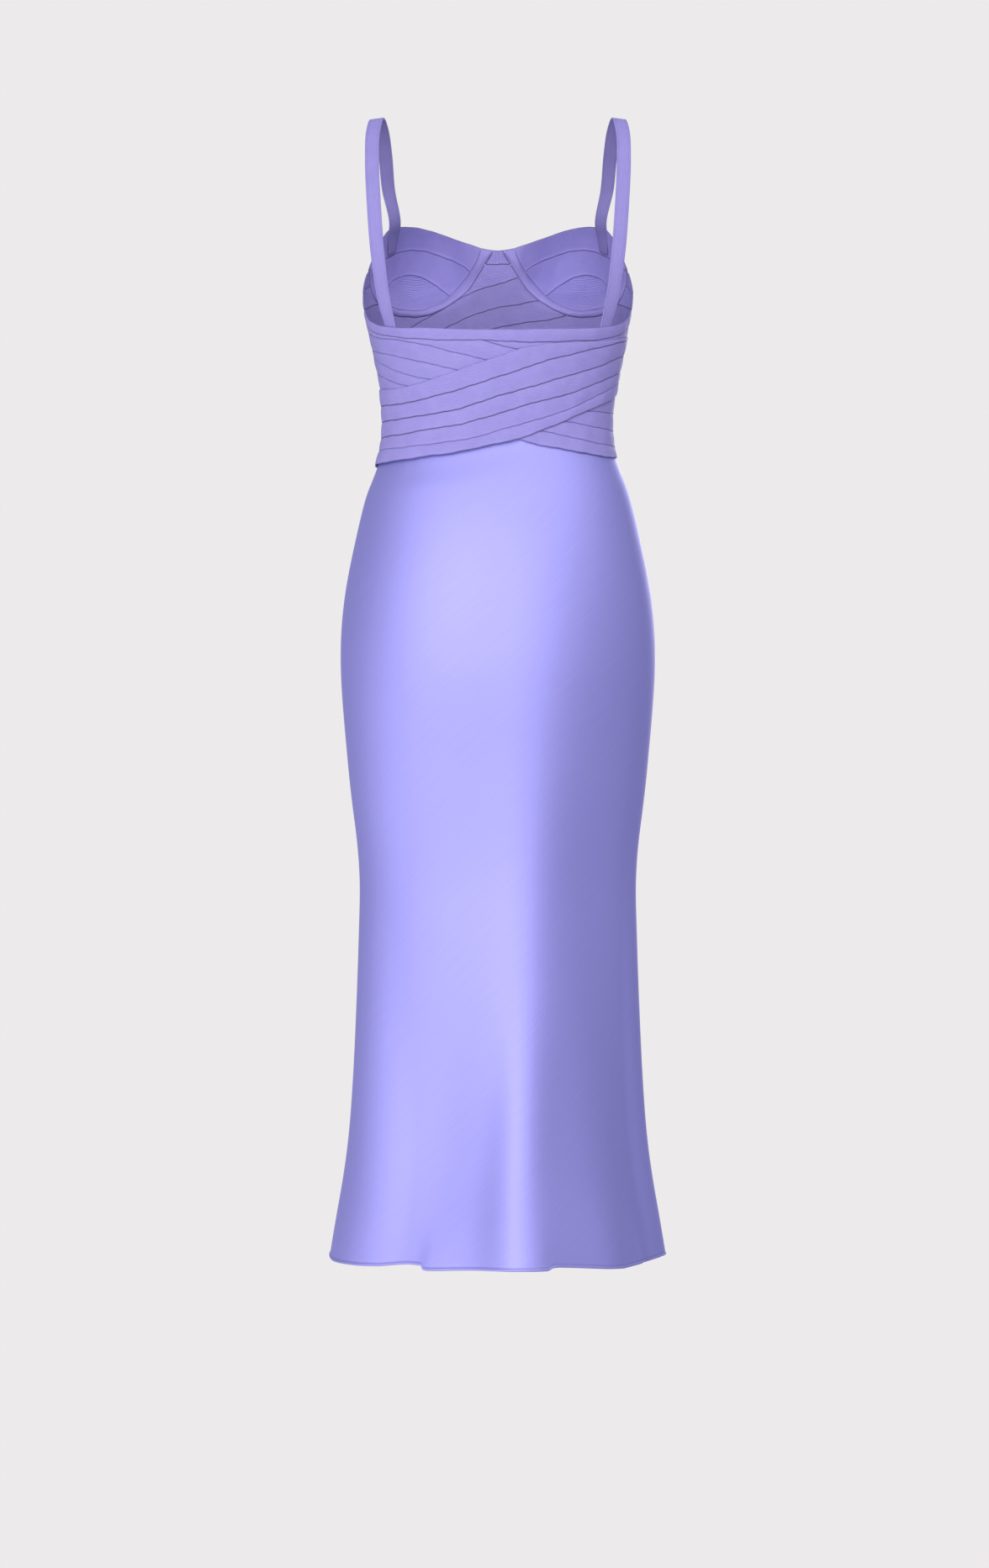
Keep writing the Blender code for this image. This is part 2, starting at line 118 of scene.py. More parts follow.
# Inner face of the cloth: height, half width at the side seams, depth behind them and before them
SECTIONS = np.array([
    (-1225, 180, 146, 152),
    (-1176, 172, 134, 142),
    (-1131, 164, 121, 130),
    (-1086, 158, 111, 120),
    (-1041, 154.5, 104, 112),
    (-951, 150, 96, 103),
    (-861, 147, 92, 98),
    (-816, 146, 92, 97),
    (-771, 149, 95, 100),
    (-726, 155, 100, 104),
    (-681, 159.5, 106, 106),
    (-636, 163.5, 113, 108),
    (-591, 166.5, 119, 109),
    (-546, 166, 121, 109),
    (-501, 161, 119, 107),
    (-456, 152, 112, 104),
    (-411, 141.5, 100, 100),
    (-375, 130.5, 88, 95),
    (-350, 123, 81, 92),
    (-325, 121.5, 78, 90),
    (-295, 123.5, 80, 90),
    (-265, 128.5, 84, 93),
    (-235, 135, 89, 96),
    (-205, 141.5, 93, 98),
    (-180, 144.5, 94, 97),
    (-150, 140, 93, 94),
    (-120, 135, 91, 91),
    (-90, 130, 88, 86),
])

# Cup dome: place of its crown, how far it stands out, and its reach each way
CUP_X, CUP_Z, CUP_RISE = 92.0, -152.0, 44.0
CUP_INWARD, CUP_OUTWARD, CUP_UP, CUP_DOWN = 76.0, 54.0, 82.0, 46.0
CUP_FULLNESS = 1.1

# Seams of the back: their height at each angle, from the wearer's left side to the right
BACK_ANGLES = (90, 75, 60, 45, 30, 15, 0, -15, -30, -45, -60, -75, -90)
BACK_SEAMS = {
    "neck": (-203, -221, -229, -231, -233, -234, -234, -234, -233, -232, -229, -221, -203),
    "band": (-215, -231, -239, -243, -245, -245, -246, -247, -247, -245, -242, -233, -216),
    "under_0": (-200, -210, -225, -235, -240, -243, -250, -255, -262, -267, -269, -267, -262),
    "under_1": (-226, -236, -242, -249, -257, -263, -269, -276, -284, -291, -295, -292, -285),
    "under_2": (-246, -252, -260, -268, -275, -283, -291, -300, -308, -313, -316, -316, -314),
    "under_3": (-251, -264, -277, -285, -292, -300, -308, -316, -323, -328, -332, -334, -333),
    "under_4": (-269, -279, -290, -299, -307, -316, -325, -333, -339, -344, -349, -351, -350),
    "under_5": (-287, -296, -305, -315, -325, -335, -343, -349, -355, -359, -363, -364, -361),
    "over_0": (-288, -291, -291, -285, -277, -269, -262, -254, -249, -246, -243, -237, -231),
    "over_1": (-307, -308, -308, -303, -297, -290, -283, -276, -267, -259, -250, -241, -235),
    "over_2": (-325, -325, -324, -321, -317, -310, -303, -297, -290, -281, -271, -258, -250),
    "over_3": (-343, -342, -341, -337, -334, -328, -322, -315, -308, -301, -289, -276, -268),
    "over_4": (-355, -356, -356, -354, -351, -347, -340, -334, -327, -318, -304, -289, -278),
    "over_5": (-371, -371, -370, -367, -364, -359, -354, -349, -340, -329, -315, -303, -290),
}
# How much painted shade each of those seams lays on the knit beside it, as a share of its light
SEAM_PAINTED_SHADES = {
    "neck": 0.2, "band": 0.45, "under_0": 0.3, "under_1": 0.24, "under_2": 0.24, "under_3": 0.22,
    "under_4": 0.22, "under_5": 0.35, "over_0": 0.08, "over_1": 0.6, "over_2": 0.64, "over_3": 0.6,
    "over_4": 0.22, "over_5": 0.42,
}
# Free edges are turned over an elastic, so they don't wander as sewn lines do
SMOOTH_SEAMS = ("neck", "edge")
# The wander of a sewn line: how far, and its waves round the body
SEAM_WANDER = ((0.22, 19), (0.16, 47))
UNDER_STRIPS = 6
OVER_STRIPS = 5

# Puckers of the knit: how high, how many round the body, their drift with height and their start
CRINKLES = ((0.16, 23, 9.0, 0.0), (0.12, 37, -6.0, 1.3), (0.06, 53, 4.0, 2.1))

# Seams of one cup, as angle from the middle of the front and height. The other cup mirrors it.
CUP_SEAMS = {
    "edge": ((0, -126), (6, -125), (12, -123), (21, -118), (33, -110), (45, -103), (52, -101),
             (60, -102), (66, -105), (72, -119), (78, -144), (84, -176), (90, -203)),
    "band_seam": ((8, -170), (19, -147), (30, -134), (38, -128), (48, -123.5), (56, -124.5),
                  (62, -130), (68, -138), (76, -150), (90, -180)),
    "low_seam": ((24, -190), (30, -174), (37, -161.5), (44, -153.5), (50, -150), (57, -152),
                 (62, -160), (65, -172), (69, -192), (90, -230)),
    "wire_in": ((0, -80), (8, -105), (11, -122), (14, -135.5), (18, -148), (24, -160), (31, -175),
                (38, -185.5), (45, -191.5), (52, -193), (59, -192), (66, -183), (70, -172),
                (74, -157), (78, -138), (90, -80)),
    "wire_out": ((0, -110), (3.5, -127), (8.5, -141), (13.5, -154.5), (19, -168), (25, -178),
                 (32, -188), (38, -195), (45, -199.5), (52, -201), (60, -199.5), (66, -195),
                 (71, -186), (76, -172), (80, -157), (84, -140), (90, -110)),
    "side_1": ((60, -150), (72, -164), (75, -171), (80, -177), (85, -184), (90, -191)),
    "side_2": ((60, -186), (66, -189), (70, -191), (75, -194.5), (80, -197.5), (85, -200),
               (90, -203.5)),
}

# The first seam below the cups, and the rest of the front's seams, at the same angles as the back's
FRONT_FIRST_SEAM = ((90, -252), (75, -240), (60, -225), (52, -214), (45, -205), (38, -196), (30, -185.5),
                    (22, -175.5), (15, -170), (3, -164), (-7, -159), (-13, -155.5), (-20, -151),
                    (-90, -130))
FRONT_SEAMS = {
    "front_2": (-268, -258, -243, -226, -209, -196, -188, -184, -178, -172, -166, -160, -154),
    "front_3": (-287, -276, -261, -244, -228, -217, -210, -205, -202, -196, -190, -184, -178),
    "front_4": (-305, -295, -281, -266, -252, -241, -234, -229, -225, -222, -220, -220, -222),
    "front_5": (-322, -313, -301, -288, -276, -266, -258, -253, -249, -246, -245, -245, -246),
    "front_6": (-338, -330, -320, -309, -299, -290, -282, -277, -273, -271, -270, -270, -271),
    "front_7": (-354, -347, -339, -330, -321, -313, -306, -301, -298, -296, -295, -295, -295),
    "front_8": (-366, -361, -355, -348, -340, -334, -329, -325, -322, -320, -319, -319, -319),
    "front_9": (-382, -378, -373, -366, -358, -353, -349, -346, -344, -342, -341, -341, -341),
    "waist": (-371, -371, -370, -369, -368, -366, -365, -364, -363, -362, -361, -361, -361),
}
FRONT_STRIPS = 10
GORE_SEAM_HEIGHT = -141.0

# Straps: x, y, height and turn of the strap's width from the X axis, from behind to before
STRAP_FREE = (
    (119.0, 58.5, -205, -28),
    (126.5, 68.0, -152, -12),
    (131.0, 60.0, -95, -8),
    (133.2, 45.0, -50, -4),
    (132.6, 24.0, -15, 0),
    (129.0, 3.0, 0.9, 5),
    (124.8, -18.0, -8, 11),
    (121.6, -39.0, -30, 15),
    (118.6, -56.5, -65, 23),
)
# Behind, inside the back band: angle and height
STRAP_BACK = ((64, -244), (64, -236), (64, -227))
# In front: angle, height, and how flush the strap lies on the cup's neckline band
STRAP_FRONT = ((66, -100, 0.62), (65.5, -114, 0.82), (65, -130, 1.0))
STRAP_INSET = 0.9
STRAP_WIDTH = 15.0
STRAP_THICK = 1.8
STRAP_STATIONS = 150
STRAP_ROWS = 5
# How far the strap's front end clears the cup where it isn't flush yet
STRAP_CLEARS = 2.2
STRAP_EDGE_ROUNDING = 1.2
# Stitches beside each edge, and the turned end: how deep the stitches dent the strap, how much painted
# shade lies in the dents and over the turned end, and how far each spreads
STITCH_INSET = 2.2
STITCH_DENT = (0.28, 0.7)
STITCH_PAINTED_SHADE = (0.12, 0.5)
STRAP_END_PAINTED_SHADE = (0.4, 1.2)
# The strap's outer edge hangs lower than its inner edge over the shoulder
STRAP_LEAN = 0.16
STRAP_LEAN_REACH = 26.0

# Folds of the skirt: angle at the hem and higher up, how far the fold stands out at the hem, its
# breadth in degrees towards larger and towards smaller angles, and the height at which it starts
FOLDS = (
    (-12.7, -22.3, 16.4, 27.3, 23.9, -400),
    (-71.7, -57.0, -16.4, 21.6, 19.5, -450),
    (-5.7, -13.0, 13.2, 10.4, 14.3, -912),
    (41.2, 62.7, -16.1, 17.9, 32.2, -708),
    (112, 112, -6, 12, 12, -860),
    (134, 138, 10, 16, 13, -700),
    (158, 158, -7, 13, 13, -860),
    (180, 176, 8, 14, 14, -800),
    (-158, -160, -8, 13, 13, -860),
    (-136, -140, 11, 14, 18, -640),
    (-112, -112, -5, 12, 12, -860),
)
# The power of the way down by which they deepen, and the degrees over which the side seams calm them
FOLD_POWER = 0.8
SIDE_CALM = 16.0

# Hem of the back panel: how far it lies above its lowest line at each angle. It steps where the
# hem turns in at a fold.
HEM_RISE = ((-90, 0.0), (-84, 0.0), (-76, -2.4), (-72, -2.4), (-68, -2.0), (-52, -2.4), (-44, -0.8),
            (-36, 1.5), (-28, 3.7), (-22, 5.2), (-19.5, 5.0), (-17.5, 2.4), (-8, 3.0), (0, 2.4), (8, 1.3),
            (16, 0.1), (24, -1.2), (31, -2.2), (32.6, -1.6), (33.8, 2.6), (40, 3.1), (44, 2.2), (52, -0.7),
            (60, -1.8), (76, -2.2), (90, 0.0))
# Waves of the front hem: height, number round the body, and degrees up to their full height
FRONT_HEM_WAVE, FRONT_HEM_WAVES, FRONT_HEM_REACH = 1.6, 6, 20
# Heights in the rolled hem, counted in rolls: its rows, the even wall and the line of stitches
ROLL_ROWS = np.array([1.8, 1.4, 1.1, 0.85, 0.6, 0.4, 0.22, 0.1, 0.0])
ABOVE_ROLL = 2.2
# The least of its round section that the roll keeps at its lowest row
ROLL_LEAST = 0.02
ROLL_LINE_HEIGHT = 1.25
# Painted shade along the line of stitches in the crease over the roll: how much, and its spread in rolls
ROLL_LINE_PAINTED_SHADE = (0.25, 0.25)
# Small flares that the rolled hem makes beside the steps: as folds, at one angle all the way down
HEM_FLARES = (
    (29, 2.4, 5.5, 13.0, -1160),
    (-14, 1.6, 12.0, 5.5, -1150),
    (-47, 2.5, 9.0, 9.0, -1120),
    (-66, 2.0, 7.0, 3.5, -1150),
)


def through(xs, ys, x):
    """A cubic through a table's points, whose slope at each point comes from the two beside it."""
    xs = np.asarray(xs, float)
    ys = np.asarray(ys, float)
    if xs[0] > xs[-1]:
        xs = xs[::-1]
        ys = ys[::-1]
    slope = np.gradient(ys, xs)
    x = np.clip(x, xs[0], xs[-1])
    i = np.clip(np.searchsorted(xs, x) - 1, 0, len(xs) - 2)
    span = xs[i + 1] - xs[i]
    t = (x - xs[i]) / span
    return (
        (2 * t**3 - 3 * t**2 + 1) * ys[i]
        + (t**3 - 2 * t**2 + t) * slope[i] * span
        + (3 * t**2 - 2 * t**3) * ys[i + 1]
        + (t**3 - t**2) * slope[i + 1] * span
    )


def fade(x, low, high):
    """0 below low, 1 above high, and a smooth step between them."""
    t = np.clip((x - low) / (high - low), 0, 1)
    return t * t * (3 - 2 * t)


def bell(distance, spread):
    """1 on a line, falling to nothing on both sides of it."""
    return np.exp(-((distance / spread) ** 2))


def beside(distance, depth, spread):
    """1 away from a line, and less by a depth on it."""
    return 1 - depth * bell(distance, spread)


def evened(values, spread):
    """A row of values averaged with its neighbours under a bell curve of that spread, in steps."""
    reach = int(4 * spread)
    bell = np.exp(-0.5 * (np.arange(-reach, reach + 1) / spread) ** 2)
    padded = np.pad(values, reach, mode="reflect", reflect_type="odd")
    return np.convolve(padded, bell / bell.sum(), mode="valid")


# Every millimetre of height from the lowest section to the highest
PROFILE_HEIGHTS = np.arange(SECTIONS[0, 0], SECTIONS[-1, 0] + 1, 1.0)


def profile(column):
    """One column of the sections at every millimetre of height, evened more over the skirt."""
    values = through(SECTIONS[:, 0], SECTIONS[:, column], PROFILE_HEIGHTS)
    skirt = fade(PROFILE_HEIGHTS, *SMOOTHER_FROM)
    return evened(values, BODICE_SMOOTHING) * (1 - skirt) + evened(values, SKIRT_SMOOTHING) * skirt


HALF_WIDTH = profile(1)
DEPTH_BEHIND = profile(2)
DEPTH_BEFORE = profile(3)


def cup_rise(x, z):
    """How far the cup stands out: a full dome that runs out smoothly on an egg-shaped outline."""
    across = np.abs(x) - CUP_X
    up = z - CUP_Z
    reach_x = np.where(across < 0, CUP_INWARD, CUP_OUTWARD)
    reach_z = np.where(up < 0, CUP_DOWN, CUP_UP)
    q = (across / reach_x) ** 2 + (up / reach_z) ** 2
    return CUP_RISE * np.clip(1 - q, 0, 1) ** 2 * (1 + CUP_FULLNESS * q)


def folds(angle, z):
    """The skirt's folds: bell-shaped ridges and troughs that deepen towards the hem. They
    leave the side seams alone."""
    total = np.zeros_like(z)
    for at_hem, higher, out, wide_up, wide_down, start in FOLDS:
        down = fade(-z, -start, -HEM_HEIGHT)
        middle = higher + (at_hem - higher) * down
        away = (angle - middle + 180) % 360 - 180
        breadth = np.where(away > 0, wide_up, wide_down)
        total = total + out * down**FOLD_POWER * bell(away, breadth)
    for at, out, wide_up, wide_down, start in HEM_FLARES:
        down = fade(-z, -start, -HEM_HEIGHT)
        away = angle - at
        breadth = np.where(away > 0, wide_up, wide_down)
        total = total + out * down * bell(away, breadth) * (np.abs(angle) < 90)
    return total * fade(np.abs(np.abs(angle) - 90), 0, SIDE_CALM)


def body(angle, z):
    """The cloth's inner face: a superellipse ring at each height, with the cups and folds on it."""
    rad = np.radians(angle)
    half = np.interp(z, PROFILE_HEIGHTS, HALF_WIDTH)
    behind = np.interp(z, PROFILE_HEIGHTS, DEPTH_BEHIND)
    before = np.interp(z, PROFILE_HEIGHTS, DEPTH_BEFORE)
    depth = np.where(np.cos(rad) >= 0, behind, before)
    q = np.abs(np.sin(rad) / half) ** SQUARENESS + np.abs(np.cos(rad) / depth) ** SQUARENESS
    r = q ** (-1 / SQUARENESS) + folds(angle, z)
    x = r * np.sin(rad)
    y = r * np.cos(rad)
    y = y - np.where(y < 0, cup_rise(x, z), 0)
    return np.stack([x, y, z], axis=-1)


def outward(angle, z):
    """The unit normal of the cloth, out of the body, from its slopes over a few millimetres."""
    along = body(angle + NORMAL_TURN, z) - body(angle - NORMAL_TURN, z)
    up = body(angle, z + NORMAL_RISE) - body(angle, z - NORMAL_RISE)
    normal = np.cross(up, along)
    return normal / np.linalg.norm(normal, axis=-1, keepdims=True)


def linear(hex_colour):
    """Linear red, green, blue and alpha of an sRGB hex colour."""
    parts = [int(hex_colour[i:i + 2], 16) / 255 for i in (1, 3, 5)]
    parts = [p / 12.92 if p <= 0.04045 else ((p + 0.055) / 1.055) ** 2.4 for p in parts]
    return (*parts, 1.0)


class DressSizes(bpy.types.PropertyGroup):
    """Sizes of the cloth."""

    knit_thickness: bpy.props.FloatProperty(
        name="Knit thickness",
        description="Thickness of the double knit that the strips and cups are cut from",
        default=0.0015, unit="LENGTH",
    )
    seam_rounding: bpy.props.FloatProperty(
        name="Seam rounding", description="How far from a seam a strip starts to round in towards it",
        default=0.0017, unit="LENGTH",
    )
    strip_swell: bpy.props.FloatProperty(
        name="Strip swell", description="How far a strip swells out between its two seams",
        default=0.0006, unit="LENGTH",
    )
    rib_pitch: bpy.props.FloatProperty(
        name="Rib pitch", description="Distance from one fine rib of the knit to the next",
        default=0.0016, unit="LENGTH",
    )
    satin_thickness: bpy.props.FloatProperty(
        name="Satin thickness", description="Thickness of the skirt's satin",
        default=0.0009, unit="LENGTH",
    )
    hem_roll: bpy.props.FloatProperty(
        name="Hem roll", description="Diameter of the narrow rolled hem",
        default=0.0024, unit="LENGTH",
    )


class DressColours(bpy.types.PropertyGroup):
    """Colours of the cloth and the floor."""

    knit: bpy.props.FloatVectorProperty(
        name="Knit", description="Face of the knit",
        default=linear("#958DCB"), size=4, subtype="COLOR",
    )
    # Painted shade between the ribs, and the darker colour of the knit's uneven patches
    knit_rib_shade_and_patches: bpy.props.FloatVectorProperty(
        name="Knit, deep", description="Between the ribs of the knit",
        default=linear("#877FBF"), size=4, subtype="COLOR",
    )
    satin: bpy.props.FloatVectorProperty(
        name="Satin", description="Face of the satin",
        default=linear("#A9A6E6"), size=4, subtype="COLOR",
    )
    satin_deep: bpy.props.FloatVectorProperty(
        name="Satin, deep", description="Between the threads of the satin",
        default=linear("#A4A1E3"), size=4, subtype="COLOR",
    )
    floor: bpy.props.FloatVectorProperty(
        name="Floor", description="Floor and backdrop of the studio",
        default=linear("#EDEAEB"), size=4, subtype="COLOR",
    )


def in_mm(name):
    """One of the cloth's sizes, in mm."""
    return getattr(bpy.context.scene.dress_sizes, name) / MM


def ribbon_mesh(inner, outer):
    """A closed wall between two matching grids of points, with quads round its edges."""
    rows, cols = inner.shape[:2]
    count = rows * cols
    index = np.arange(count).reshape(rows, cols)
    a, b, c, d = index[:-1, :-1], index[:-1, 1:], index[1:, 1:], index[1:, :-1]
    front = np.stack([a, b, c, d], axis=-1).reshape(-1, 4) + count
    back = np.stack([a, d, c, b], axis=-1).reshape(-1, 4)
    loop = np.concatenate([index[0, :], index[1:, -1], index[-1, -2::-1], index[-2:0:-1, 0]])
    after = np.roll(loop, -1)
    rim = np.stack([loop, after, after + count, loop + count], axis=-1)
    points = np.concatenate([inner.reshape(-1, 3), outer.reshape(-1, 3)])
    return points, np.concatenate([front, back, rim]), len(rim)


def flat_size(middle):
    """Width, length and area of the cut that a grid of points in mm lies in, from its edges."""
    across = np.linalg.norm(np.diff(middle, axis=0), axis=-1)
    along = np.linalg.norm(np.diff(middle, axis=1), axis=-1)
    width = across.sum(axis=0).max()
    length = along.sum(axis=1).max()
    cell = 0.25 * (across[:, :-1] + across[:, 1:]) * (along[:-1] + along[1:])
    lean = np.cross(np.diff(middle, axis=0)[:, :-1], np.diff(middle, axis=1)[:-1])
    area = min(np.linalg.norm(lean, axis=-1).sum(), cell.sum())
    return width, length, area


def add_cloth(name, inner, outer, uv, painted_light, material, node, slot, held, faces_painted_light=(1.0, 1.0)):
    """Put one closed wall of cloth in the scene: it rides on the frame and stands for its node. Its flat
    size is worked out but not used. The UV map holds real metres along and across the cut, and a point
    attribute the painted light and shade at each point of its first and its second face."""
    points, faces, rim = ribbon_mesh(inner, outer)
    mesh = bpy.data.meshes.new(name)
    mesh.vertices.add(len(points))
    mesh.vertices.foreach_set("co", (points * MM).ravel())
    mesh.loops.add(faces.size)
    mesh.loops.foreach_set("vertex_index", faces.ravel())
    mesh.polygons.add(len(faces))
    mesh.polygons.foreach_set("loop_start", np.arange(0, faces.size, 4))
    smooth = np.ones(len(faces), dtype=bool)
    smooth[len(faces) - rim:] = False
    mesh.polygons.foreach_set("use_smooth", smooth)
    both = np.concatenate([uv.reshape(-1, 2)] * 2) * MM
    layer = mesh.uv_layers.new(name="cut")
    layer.data.foreach_set("uv", both[faces.ravel()].ravel())
    # Painted light and shade at each point: seam, stitch and side-seam shade and lip highlights, scaled for
    # each face
    shade = mesh.attributes.new("painted_light", "FLOAT", "POINT")
    shade.data.foreach_set("value", np.concatenate([painted_light.ravel() * light for light in faces_painted_light]))
    mesh.update(calc_edges=True)
    mesh.set_sharp_from_angle(angle=SHARP_TURN)
    if mesh.validate():
        raise RuntimeError(name + " has faces that Blender had to mend")
    mesh.materials.append(material)
    piece = bpy.data.objects.new(name, mesh)
    bpy.context.scene.collection.objects.link(piece)
    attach(piece, "root")
    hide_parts(node)
    width, length, area = flat_size((inner + outer) / 2)
    width = max(width, LEAST_SHEET_WIDTH)
    return piece


def add_node(tree, kind, settings=None, inputs=None):
    """Add one shader node, set its own settings, and give its inputs a value or a link."""
    node = tree.nodes.new(kind)
    for name, value in (settings or {}).items():
        setattr(node, name, value)
    for name, value in (inputs or {}).items():
        if isinstance(value, bpy.types.NodeSocket):
            tree.links.new(value, node.inputs[name])
        else:
            node.inputs[name].default_value = value
    return node


def new_material(name):
    """A material and its tree of nodes, still empty."""
    material = bpy.data.materials.new(name)
    material.use_nodes = True
    material.node_tree.nodes.clear()
    return material, material.node_tree


# A wave texture repeats every pi / 10 of its input at scale 1
WAVE_PERIOD = math.pi / 10
# Knit: uneven patches 18 mm across, fuzz 1.4 mm across on the relief, and gathers 1.5 ribs apart
KNIT_PATCHES_PER_METRE = 55.0
KNIT_FUZZ_PER_METRE = 700.0
KNIT_FUZZ_RELIEF = 0.35
GATHERS_APART = 1.5
# Kinds of knit: rib pitch beside the plain strip's, rib depth in metres, and how much painted shade lies
# between the ribs
KNIT_KINDS = {
    "knit_double_face": (1.0, 0.00025, 0.6),
    "knit_ribbed": (1.7, 0.0009, 1.6),
    "knit_fine_ribbed": (1.2, 0.0008, 1.6),
    "knit_crossed": (1.6, 0.0009, 1.2),
}
# Satin: slubs 55 mm long and 2.4 mm wide on the bias. The threads are diagonal bands of that turned
# cut, so they run down the panel, the root of 2 times this pitch apart.
SLUBS_PER_METRE = (18.0, 420.0, 1.0)
SLUB_CONTRAST, SLUB_SHIFT = 1.4, -0.1
THREAD_PITCH = 0.0009
THREAD_RELIEF = 0.25


def bands(tree, vector, direction, pitch, distortion=0.0):
    """Even bands as far apart as the pitch, from 0 between two of them to 1 on top."""
    settings = {"wave_type": "BANDS", "bands_direction": direction, "wave_profile": "SIN"}
    inputs = {"Vector": vector, "Scale": WAVE_PERIOD / pitch, "Distortion": distortion}
    return add_node(tree, "ShaderNodeTexWave", settings, inputs).outputs["Fac"]


def noise(tree, vector, scale, detail, roughness):
    """Soft uneven patches, from 0 to 1."""
    inputs = {"Vector": vector, "Scale": scale, "Detail": detail, "Roughness": roughness}
    return add_node(tree, "ShaderNodeTexNoise", None, inputs).outputs["Fac"]


def reckon(tree, operation, *values):
    """The result of one sum on numbers or sockets."""
    return add_node(tree, "ShaderNodeMath", {"operation": operation}, dict(enumerate(values))).outputs[0]


def painted_light_blend(tree, share, deep, face, clamped=True):
    """A colour between two, scaled by the painted light and shade in the cloth's point attribute."""
    settings = {"data_type": "RGBA", "clamp_factor": clamped}
    mix = add_node(tree, "ShaderNodeMix", settings, {0: share, 6: tuple(deep), 7: tuple(face)})
    painted_light = add_node(tree, "ShaderNodeAttribute", {"attribute_name": "painted_light"})
    inputs = {0: mix.outputs[2], "Scale": painted_light.outputs["Fac"]}
    return add_node(tree, "ShaderNodeVectorMath", {"operation": "SCALE"}, inputs).outputs[0]


def relief_on(tree, strength, depth, height):
    """The normal of a face with that relief on it, as deep as that in metres."""
    inputs = {"Strength": strength, "Distance": depth, "Height": height}
    return add_node(tree, "ShaderNodeBump", None, inputs).outputs["Normal"]


def show(tree, kind, inputs, output="ShaderNodeOutputMaterial"):
    """Add one shader with those inputs, and the output that shows it."""
    shader = add_node(tree, kind, None, inputs)
    add_node(tree, output, None, {"Surface": shader.outputs[0]})


def knit_material(name, colours, pitch, rib_depth, rib_painted_shade, crossed=False):
    """Heavy double knit of rayon and elastane, steamed and stretched on the figure. The eye gets a
    soft matt face with hair-fine ribs along the strip, painted shade between them, a faint bloom at its
    edges and small uneven patches of colour. The ribs are drawn at least 1.6 mm apart, coarser than the
    real 0.8 mm, to show."""
    material, tree = new_material(name)
    cut = add_node(tree, "ShaderNodeUVMap", {"uv_map": "cut"}).outputs["UV"]
    place = add_node(tree, "ShaderNodeTexCoord").outputs["Object"]
    height = bands(tree, cut, "Y", pitch)
    if crossed:
        height = reckon(tree, "MULTIPLY", height, bands(tree, cut, "X", pitch * GATHERS_APART))
    patches = noise(tree, place, KNIT_PATCHES_PER_METRE, 3.0, 0.6)
    fuzz = noise(tree, place, KNIT_FUZZ_PER_METRE, 2.0, 0.7)
    # Painted shade between the ribs, over uneven patches of the knit's own colour
    share = reckon(tree, "MULTIPLY_ADD", height, rib_painted_shade, patches)
    share = reckon(tree, "SUBTRACT", share, rib_painted_shade / 2)
    relief = reckon(tree, "MULTIPLY_ADD", fuzz, KNIT_FUZZ_RELIEF, height)
    show(tree, "ShaderNodeBsdfPrincipled", {
        "Base Color": painted_light_blend(tree, share, colours.knit_rib_shade_and_patches, colours.knit, clamped=False),
        "Roughness": 0.68,
        "Specular IOR Level": 0.28,
        "Sheen Weight": 0.08,
        "Sheen Roughness": 0.45,
        "Normal": relief_on(tree, 0.5, rib_depth, relief),
    })
    return material


def satin_material(name, colours):
    """Polyester satin cut on the bias, pressed smooth. The eye gets a long soft highlight that runs
    down the folds, an even face with faint slubs, and a thread too fine to see. The weave is drawn
    1.3 mm apart, about four times the real spacing, and very shallow."""
    material, tree = new_material(name)
    cut = add_node(tree, "ShaderNodeUVMap", {"uv_map": "cut"}).outputs["UV"]
    bias = {"Vector": cut, "Rotation": (0.0, 0.0, math.radians(45))}
    bias = add_node(tree, "ShaderNodeMapping", None, bias).outputs["Vector"]
    drawn_out = {"Vector": bias, "Scale": SLUBS_PER_METRE}
    drawn_out = add_node(tree, "ShaderNodeMapping", None, drawn_out).outputs["Vector"]
    slubs = noise(tree, drawn_out, 1.0, 2.0, 0.5)
    thread = bands(tree, bias, "DIAGONAL", THREAD_PITCH, 0.3)
    share = reckon(tree, "MULTIPLY_ADD", slubs, SLUB_CONTRAST, SLUB_SHIFT)
    relief = reckon(tree, "MULTIPLY_ADD", thread, THREAD_RELIEF, slubs)
    show(tree, "ShaderNodeBsdfPrincipled", {
        "Base Color": painted_light_blend(tree, share, colours.satin_deep, colours.satin),
        "Metallic": 0.9,
        "Roughness": 0.64,
        "Specular IOR Level": 0.5,
        "Normal": relief_on(tree, 0.03, 0.00025, relief),
    })
    return material


def finish(name, make, *args):
    """A material by name, made the first time that it is asked for."""
    return bpy.data.materials.get(name) or make(name, *args)


def knit(kind="knit_double_face"):
    """One finish of the knit: plain strips, lower cups with strong ribs, and the gore with finer ones,
    which are crossed by gathers on its top piece."""
    scene = bpy.context.scene
    pitch, depth, shade = KNIT_KINDS[kind]
    pitch *= scene.dress_sizes.rib_pitch
    return finish(kind, knit_material, scene.dress_colours, pitch, depth, shade, kind == "knit_crossed")


def crinkle(angle, z):
    """The knit's puckers, in mm: slow waves round the body that drift with height and never repeat
    together."""
    turn = np.radians(angle)
    return sum(high * np.sin(count * turn + z / drift + start) for high, count, drift, start in CRINKLES)


def rows_between(height, rows):
    """Distances up from the lower seam: close steps beside both seams and even ones between them. On
    a low strip the close steps shrink with it."""
    close = EDGE_STEPS[:, None] * np.clip(height / FULL_STEPS_HEIGHT, 0, 1)
    share = np.linspace(0, 1, rows + 2)[1:-1, None]
    even = close[-1] + (height - 2 * close[-1]) * share
    return np.concatenate([close, even, (height - close)[::-1]])


def from_start(lengths):
    """How far each end of a row of lengths lies from the row's start."""
    return np.concatenate([[0], np.cumsum(lengths)])


